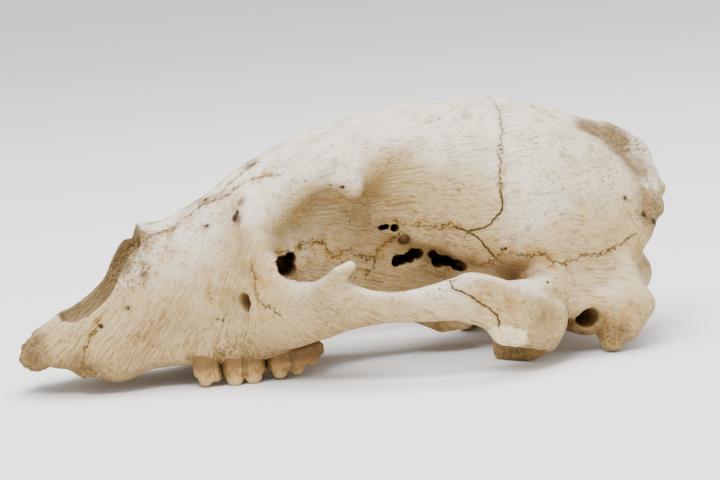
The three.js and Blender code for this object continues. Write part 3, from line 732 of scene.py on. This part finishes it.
def seam_marks(paths):
    """For each point its signed distance across the nearest seam, and how near that seam is."""
    across = np.zeros(len(points))
    best = np.full(len(points), 99.0)
    for path in paths.values():
        path = settled(path)
        for a, b in zip(path[:-1], path[1:]):
            run = b - a
            t = np.clip((one_side - a) @ run / (run @ run), 0, 1)
            gap = one_side - a - t[:, None] * run
            far = np.linalg.norm(gap, axis=1)
            over = np.abs(run[0]) + np.abs(run[2]) > np.abs(run[1])
            side = run[0] * gap[:, 2] - run[2] * gap[:, 0] if over else gap[:, 0]
            closer = far < best
            best = np.where(closer, far, best)
            across = np.where(closer, np.where(side < 0, -far, far), across)
    return np.stack([across, np.clip(1.3 - best / 5, 0, 1), np.zeros(len(points))], 1)


marks = {
    # How closed in the place is, for the shade painted into the hollows
    "hollow": hollow,
    # The walls inside the nose and the neck hole, for their brown stain and painted shade
    "cavity_wall_stain_and_shade": cavity_wall_stain_and_shade,
    "specks": specks,
    "stain": stain,
    "ochre": ochre,
    "pale_face": np.clip(pale_face, 0, 2),
    "rugged": rugged,
    # How pale the place is, with light from above painted in
    "pale_and_top_lit": pale_and_top_lit,
    "crack": seam_marks(CRACKS),
    "zigzag": seam_marks(ZIGZAGS),
}

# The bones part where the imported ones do: at slanting cuts, given by their ends as (x, z), and
# for the cheek also from a line in plan outwards and below a level

FACE_CUT = ((84, 104), (124.5, 3))
CHEEK_CUT = ((158, 45.5), (190, 2.7))
CHEEK_INSIDE = ([104, 112, 124, 186], [40, 44, 52, 58])
CHEEK_TOP = 57


def in_front(places, cut):
    (upper_x, upper_z), (lower_x, lower_z) = cut
    slant = (upper_z - places[:, 2]) * (lower_x - upper_x) / (upper_z - lower_z)
    return places[:, 0] - upper_x < slant


centres = points[faces].mean(1)
on_face = in_front(centres, FACE_CUT)
on_cheek = ~on_face & in_front(centres, CHEEK_CUT)
on_cheek &= np.abs(centres[:, 1]) > np.interp(centres[:, 0], *CHEEK_INSIDE)
on_cheek &= centres[:, 2] < CHEEK_TOP


def part_of(name, chosen, *nodes):
    """The chosen faces as a piece of bone that takes the place of some nodes."""
    used, index = np.unique(faces[chosen], return_inverse=True)
    piece = new_mesh(name, points[used], index.reshape(-1, 4), normals[used])
    for mark, values in marks.items():
        kind = "FLOAT" if values.ndim == 1 else "FLOAT_VECTOR"
        layer = piece.data.attributes.new(mark, kind, "POINT")
        layer.data.foreach_set("value" if values.ndim == 1 else "vector", values[used].ravel())
    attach(piece, "root")
    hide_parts(*nodes)
    return piece


bones = [
    part_of("snout_bones", on_face, "snout"),
    part_of("braincase_bones", ~on_face & ~on_cheek, "braincase"),
    part_of("cheekbone_left_bone", on_cheek & (centres[:, 1] < 0), "cheekbone_left"),
    part_of("cheekbone_right_bone", on_cheek & (centres[:, 1] > 0), "cheekbone_right"),
]

teeth = []
for kind, (crown_sizes, cusps) in TEETH.items():
    shape = tooth(crown_sizes, cusps)
    low = (crown_sizes["x"][0] - 2, 18, -2)
    high = (crown_sizes["x"][-1] + 2, 38, 15)
    spots, sides = skin(shape, low, high, TOOTH_CELL)
    spots[:, 2] = np.maximum(spots[:, 2], FLOOR_GAP)
    for name, side in (("left", -1), ("right", 1)):
        turned = sides if side > 0 else sides[:, ::-1]
        piece = new_mesh(f"{kind}_{name}_crown", spots * [1, side, 1], turned)
        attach(piece, "root")
        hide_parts(f"{kind}_{name}")
        teeth.append(piece)


# Materials

class Socket:
    """A shader value that takes Python's operators."""

    def __init__(self, tree, link):
        self.tree = tree
        self.link = link

    def math(self, operation, *others):
        return make(self.tree, "ShaderNodeMath", {"operation": operation}, [self, *others])

    def vector(self, operation, other):
        return make(self.tree, "ShaderNodeVectorMath", {"operation": operation}, [self, other])

    def __add__(self, other):
        return self.math("ADD", other)

    def __sub__(self, other):
        return self.math("SUBTRACT", other)

    def __rsub__(self, other):
        return make(self.tree, "ShaderNodeMath", {"operation": "SUBTRACT"}, [other, self])

    def __mul__(self, other):
        return self.math("MULTIPLY", other)

    def __abs__(self):
        return self.math("ABSOLUTE")

    __radd__ = __add__
    __rmul__ = __mul__

    def rise(self, low, high):
        """0 below low, 1 above high and smooth between; falling where high is below low."""
        if low > high:
            return 1 - self.rise(high, low)
        return make(self.tree, "ShaderNodeMapRange", {"interpolation_type": "SMOOTHSTEP"},
                    [self, low, high])

    def scaled(self, size):
        return make(self.tree, "ShaderNodeVectorMath", {"operation": "SCALE"}, {0: self, 3: size})

    def noise(self, size, detail=3.0, roughness=0.5, output=0):
        """Noise over a place in millimetres, with lumps of the given size."""
        return make(self.tree, "ShaderNodeTexNoise", {},
                    {"Vector": self, "Scale": 1 / size, "Detail": detail, "Roughness": roughness},
                    output)

    def cells(self, size):
        """Distance to the nearest of many scattered points, in parts of their spacing."""
        return make(self.tree, "ShaderNodeTexVoronoi", {},
                    {"Vector": self, "Scale": 1 / size, "Randomness": 1.0})

    def part(self, axis):
        return make(self.tree, "ShaderNodeSeparateXYZ", {}, [self], axis)


def make(tree, kind, settings, values, output=0):
    """A node with its settings and inputs; gives one of its outputs."""
    node = tree.nodes.new(kind)
    for key, value in settings.items():
        setattr(node, key, value)
    pairs = values.items() if isinstance(values, dict) else enumerate(values)
    for key, value in pairs:
        if isinstance(value, Socket):
            tree.links.new(value.link, node.inputs[key])
        else:
            node.inputs[key].default_value = value
    return Socket(tree, node.outputs[output])


def blend(tree, share, first, second):
    """A colour between two, each one a triple or a socket."""
    first, second = (c if isinstance(c, Socket) else (*c, 1) for c in (first, second))
    return make(tree, "ShaderNodeMix", {"data_type": "RGBA"}, {0: share, 6: first, 7: second}, 2)


# Outputs of the node that reads a mark of the points
MARK_AS_VECTOR = 1
MARK_AS_NUMBER = 2


def mark(tree, name, output=MARK_AS_NUMBER):
    return make(tree, "ShaderNodeAttribute", {"attribute_name": name}, {}, output)


def surface(name, roughness):
    """A material with its tree and shader, and the place on the skull in millimetres."""
    material = bpy.data.materials.new(name)
    material.use_nodes = True
    tree = material.node_tree
    shader = tree.nodes["Principled BSDF"]
    shader.inputs["Roughness"].default_value = roughness
    shader.inputs["Specular IOR Level"].default_value = 0.25
    place = make(tree, "ShaderNodeTexCoord", {}, {}, 3).scaled(1 / MM)
    return material, tree, shader, place


def raise_bumps(tree, shader, height):
    """Use a height in millimetres for the relief of a surface."""
    normal = make(tree, "ShaderNodeBump", {}, {"Strength": 1.0, "Distance": MM, "Height": height})
    tree.links.new(normal.link, shader.inputs["Normal"])


# Colours of the bone
TAN_BONE = (0.34, 0.2, 0.055)
WARM_BONE = (0.57, 0.41, 0.18)
PALE_BONE = (0.95, 0.87, 0.7)
BROWN_PATCH = (0.46, 0.28, 0.1)
LIGHT_FIBRE = (0.86, 0.74, 0.55)
DARK_CREASE = (0.26, 0.15, 0.045)
FRECKLE = (0.4, 0.2, 0.025)
OCHRE_STAIN = (0.44, 0.22, 0.03)
OCHRE_SEAM = (0.4, 0.2, 0.02)
DARK_SOIL = (0.12, 0.065, 0.015)
LIGHT_SOIL = (0.27, 0.165, 0.05)
WORN_FACE = (0.95, 0.78, 0.46)
# Brown stain and painted shade on the walls inside the nose and the neck hole
CAVITY_BROWN_AND_SHADE = (0.25, 0.16, 0.065)
# Painted shade in the hollows, from their rims to their deepest parts
HOLLOW_SHADE_LIGHT = (0.4, 0.25, 0.085)
HOLLOW_SHADE_DEEP = (0.2, 0.095, 0.03)
HOLLOW_SHADE_BLACK = (0.02, 0.012, 0.008)
SEAM_LINE = (0.1, 0.05, 0.014)
CRACK_EDGE = (0.5, 0.3, 0.07)
CRACK_LINE = (0.06, 0.03, 0.01)
PINHOLE = (0.16, 0.08, 0.02)
DARK_SPECK = (0.045, 0.02, 0.008)
BONE_PIT = (0.24, 0.12, 0.03)

# Colours of the teeth
BROWN_ENAMEL = (0.28, 0.145, 0.035)
YELLOW_ENAMEL = (0.56, 0.355, 0.125)
TOOTH_STREAK = (0.2, 0.1, 0.02)
TOOTH_NECK = (0.13, 0.065, 0.018)
TOOTH_GAP = (0.09, 0.045, 0.012)
TOOTH_TIP = (0.68, 0.48, 0.22)

# Gaps and notches along the tooth row: x from the middle of the box, half width and darkness
GAPS = ((-57.6, 2.4, 1), (-40, 2.6, 1), (-48.8, 1.6, 0.6), (-29.6, 1.8, 0.6))


def bone_surface():
    material, tree, shader, place = surface("weathered_bone", 0.62)
    x, y, z = (place.part(axis) for axis in range(3))
    broad = place.noise(38, 3)
    patch = place.noise(9, 4, 0.6)
    speckle = place.noise(3.4, 4, 0.68)
    pebble = place.noise(3.2, 3, 0.55)
    grain = place.noise(1.2, 3, 0.6)
    # How closed in the place is, for the painted shade in the hollows
    hollow_shade = mark(tree, "hollow")
    # The walls inside the nose and the neck hole, for brown stain with painted shade
    wall_stain_and_shade = mark(tree, "cavity_wall_stain_and_shade")
    stained = mark(tree, "stain")
    ochred = mark(tree, "ochre")
    rough = mark(tree, "rugged")
    # How pale the place is, with light from above painted in
    pale_and_top_lit_here = mark(tree, "pale_and_top_lit")
    on_pale_face = mark(tree, "pale_face")
    speck = mark(tree, "specks") + (grain - 0.5) * 1.2
    crack = mark(tree, "crack", MARK_AS_VECTOR)
    zigzag = mark(tree, "zigzag", MARK_AS_VECTOR)
    crack_near = crack.part(1)
    zigzag_near = zigzag.part(1)

    # Fibres fan out from above the eye on the snout, and from the snout on the braincase
    noise_slice = 0.099
    drift = place.noise(16, 2, 0.5, 1).scaled(5)
    fans = []
    for fan_x, fan_z in ((-4, 128), (-104, 70)):
        turn = (z - fan_z).math("ARCTAN2", x - fan_x)
        along = make(tree, "ShaderNodeCombineXYZ", {}, [noise_slice, turn * 120, y])
        fans.append(along.vector("ADD", drift).noise(0.85, 4, 0.6))
    near_snout = x.rise(-22, -52)
    fibre = fans[0] * near_snout + fans[1] * (1 - near_snout)
    crease = fibre.rise(0.44, 0.34) * patch.rise(0.36, 0.6)
    fine_crease = abs(place.noise(2.4, 4, 0.6) - 0.5).rise(0.03, 0.0) * patch.rise(0.62, 0.42)

    # Seams wander about their line
    wave = place.noise(1.9, 2, 0.55) - 0.5
    swing = place.noise(9, 1) - 0.5
    crack_off = abs(crack.part(0) + wave * 1.6 + swing * 2.5)
    crack_line = crack_off.rise(0.65, 0.2) * crack_near.rise(0.5, 0.9)
    crack_halo = crack_off.rise(2.2, 0.5) * crack_near.rise(0.4, 0.9)
    zigzag_off = abs(zigzag.part(0) + wave * 6 + swing * 2)
    zigzag_line = zigzag_off.rise(0.75, 0.2) * zigzag_near.rise(0.35, 0.8) * grain.rise(0.3, 0.5)
    zigzag_halo = patch.rise(0.35, 0.6) * zigzag_off.rise(3, 0.4) * zigzag_near.rise(0.3, 0.9)

    # Pinholes, pits and freckles
    dots = place.cells(3.4).rise(0.2, 0.1) * place.noise(7, 2).rise(0.56, 0.66)
    pits = place.cells(1.5).rise(0.42, 0.2) * rough.rise(0.25, 0.8)
    freckles = place.noise(2.1, 3, 0.65).rise(0.57, 0.66) * place.noise(21, 2).rise(0.46, 0.62)

    # Bare bone, its tone with light from above painted in
    tone_and_top_light = pale_and_top_lit_here + (broad - 0.5) * 1.1
    colour = blend(tree, tone_and_top_light.rise(-0.1, 0.5), TAN_BONE, WARM_BONE)
    colour = blend(tree, tone_and_top_light.rise(0.42, 0.95), colour, PALE_BONE)
    colour = blend(tree, patch.rise(0.42, 0.72) * 0.4, colour, BROWN_PATCH)
    colour = blend(tree, fibre.rise(0.42, 0.68) * 0.3, colour, LIGHT_FIBRE)
    colour = blend(tree, crease * 0.4 + fine_crease * 0.3, colour, DARK_CREASE)
    colour = blend(tree, freckles * 0.7, colour, FRECKLE)

    # Stains, and the pale face that is worn smooth
    glow = ochred * (0.1 + (patch - 0.45) * 2.5 + (speckle - 0.45) * 6 + (fibre - 0.5) * 3)
    colour = blend(tree, glow.rise(0.15, 0.9) * 0.62, colour, OCHRE_STAIN)
    colour = blend(tree, zigzag_halo * 0.6, colour, OCHRE_SEAM)
    soiled = stained * (0.1 + patch + speckle * 0.8)
    soil = blend(tree, speckle.rise(0.4, 0.62), DARK_SOIL, LIGHT_SOIL)
    colour = blend(tree, soiled.rise(0.1, 0.85) * 0.9, colour, soil)
    bare = (on_pale_face + wave * 0.5).rise(0.98, 1.12)
    colour = blend(tree, bare * 0.85, colour, WORN_FACE)

    # Hollows: painted shade, and brown stain with painted shade inside the nose and the neck hole
    colour = blend(tree, wall_stain_and_shade.rise(0.2, 0.8) * (0.5 + patch * 0.6), colour, CAVITY_BROWN_AND_SHADE)
    colour = blend(tree, hollow_shade.rise(0.1, 0.45) * 0.4, colour, HOLLOW_SHADE_LIGHT)
    colour = blend(tree, hollow_shade.rise(0.26, 0.8) * 0.9, colour, HOLLOW_SHADE_DEEP)
    colour = blend(tree, hollow_shade.rise(0.85, 1.15), colour, HOLLOW_SHADE_BLACK)

    # Seams, cracks, holes and pits
    colour = blend(tree, zigzag_line * 0.9, colour, SEAM_LINE)
    colour = blend(tree, crack_halo * 0.4, colour, CRACK_EDGE)
    colour = blend(tree, crack_line * 0.95, colour, CRACK_LINE)
    colour = blend(tree, dots * 0.8 * (1 - bare), colour, PINHOLE)
    colour = blend(tree, speck.rise(0.8, 1.3), colour, DARK_SPECK)
    colour = blend(tree, pits * 0.6 * (1 - bare), colour, BONE_PIT)

    tree.links.new(colour.link, shader.inputs["Base Color"])
    tree.links.new((0.5 + patch * 0.2 + stained * 0.1).link, shader.inputs["Roughness"])
    height = fibre * 1.5 + grain * 0.6 + pebble * 0.9 + patch * 0.6
    height = height - crease * 0.3 - crack_line * 0.5 - zigzag_line * 0.3
    raise_bumps(tree, shader, height - dots * 0.4 - pits * 0.8)
    return material


def tooth_surface():
    material, tree, shader, place = surface("worn_enamel", 0.34)
    x = place.part(0)
    z = place.part(2)
    patch = place.noise(3, 3, 0.6)
    streak = place.vector("MULTIPLY", (1.0, 1.0, 0.25)).noise(0.8, 3, 0.6)
    neck = (z + (patch - 0.5) * 7).rise(5.5, 9)
    tip = (z + (patch - 0.5) * 3).rise(4.4, 1.6)
    gap = 0
    for gap_x, wide, darkness in GAPS:
        shade = (abs(x - gap_x) + (patch - 0.5) * 2).rise(wide, 0.3) * darkness
        gap = shade.math("MAXIMUM", gap)
    colour = blend(tree, patch.rise(0.3, 0.7), BROWN_ENAMEL, YELLOW_ENAMEL)
    colour = blend(tree, streak.rise(0.48, 0.66) * 0.7, colour, TOOTH_STREAK)
    colour = blend(tree, neck * 0.85, colour, TOOTH_NECK)
    colour = blend(tree, gap * 0.85, colour, TOOTH_GAP)
    colour = blend(tree, tip * 0.6, colour, TOOTH_TIP)
    tree.links.new(colour.link, shader.inputs["Base Color"])
    tree.links.new((0.28 + patch * 0.2).link, shader.inputs["Roughness"])
    raise_bumps(tree, shader, patch * 1.2 + streak * 0.6 - gap * 0.8)
    return material


bone_material = bone_surface()
tooth_material = tooth_surface()
for piece in bones:
    piece.data.materials.append(bone_material)
for piece in teeth:
    piece.data.materials.append(tooth_material)

# Floor, light and camera

floor_material, _, floor_shader, _ = surface("pale_floor", 0.85)
floor_shader.inputs["Base Color"].default_value = (0.93, 0.93, 0.93, 1)
bpy.ops.object.select_all(action="DESELECT")
bpy.ops.mesh.primitive_plane_add(size=6)
floor = bpy.context.object
floor.name = "floor"
floor.data.materials.append(floor_material)
floor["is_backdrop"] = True


# The lamps point at the middle of the skull
AIM = Vector((0, 0, 0.04))


def lamp(name, place, size, power):
    light = bpy.data.lights.new(name, "AREA")
    light.size = size
    light.energy = power
    lit = bpy.data.objects.new(name, light)
    lit.location = place
    lit.rotation_euler = (AIM - Vector(place)).to_track_quat("-Z", "Y").to_euler()
    bpy.context.scene.collection.objects.link(lit)


lamp("key_light", (-0.35, -0.75, 1.15), 0.6, 19)
lamp("fill_light", (0.9, -0.9, 0.5), 1.0, 2)
lamp("top_light", (0.1, 0.25, 1.3), 0.9, 24)
world = bpy.data.worlds.new("studio")
world.use_nodes = True
backdrop = world.node_tree.nodes["Background"]
backdrop.inputs["Color"].default_value = (1, 1, 1, 1)
backdrop.inputs["Strength"].default_value = 1.05
bpy.context.scene.world = world

# The photograph looks a little towards the front, from a little above, tilted a little
PICTURE_WIDTH = 720
PIXEL = 0.405 * MM
SENSOR_WIDTH = 36
turn = math.radians(9.0)
lift = math.radians(8.0)
roll = math.radians(4.6)
distance = 1.3
focus = Vector((139.6, 0, 48.0)) * MM - Vector(MIDDLE) * MM
ahead = Vector((math.sin(turn) * math.cos(lift), math.cos(turn) * math.cos(lift), -math.sin(lift)))
level = Vector((math.cos(turn), -math.sin(turn), 0))
upright = level.cross(ahead)
right = level * math.cos(roll) - upright * math.sin(roll)
up = level * math.sin(roll) + upright * math.cos(roll)
lens = bpy.data.cameras.new("camera")
lens.sensor_width = SENSOR_WIDTH
lens.lens = SENSOR_WIDTH * distance / PIXEL / PICTURE_WIDTH
camera = bpy.data.objects.new("camera", lens)
facing = Matrix((right, up, -ahead)).transposed().to_4x4()
camera.matrix_world = Matrix.Translation(focus - ahead * distance) @ facing
bpy.context.scene.collection.objects.link(camera)
bpy.context.scene.camera = camera

plain_box = [[list(corner) for corner in box] for box in (cad_box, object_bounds())]
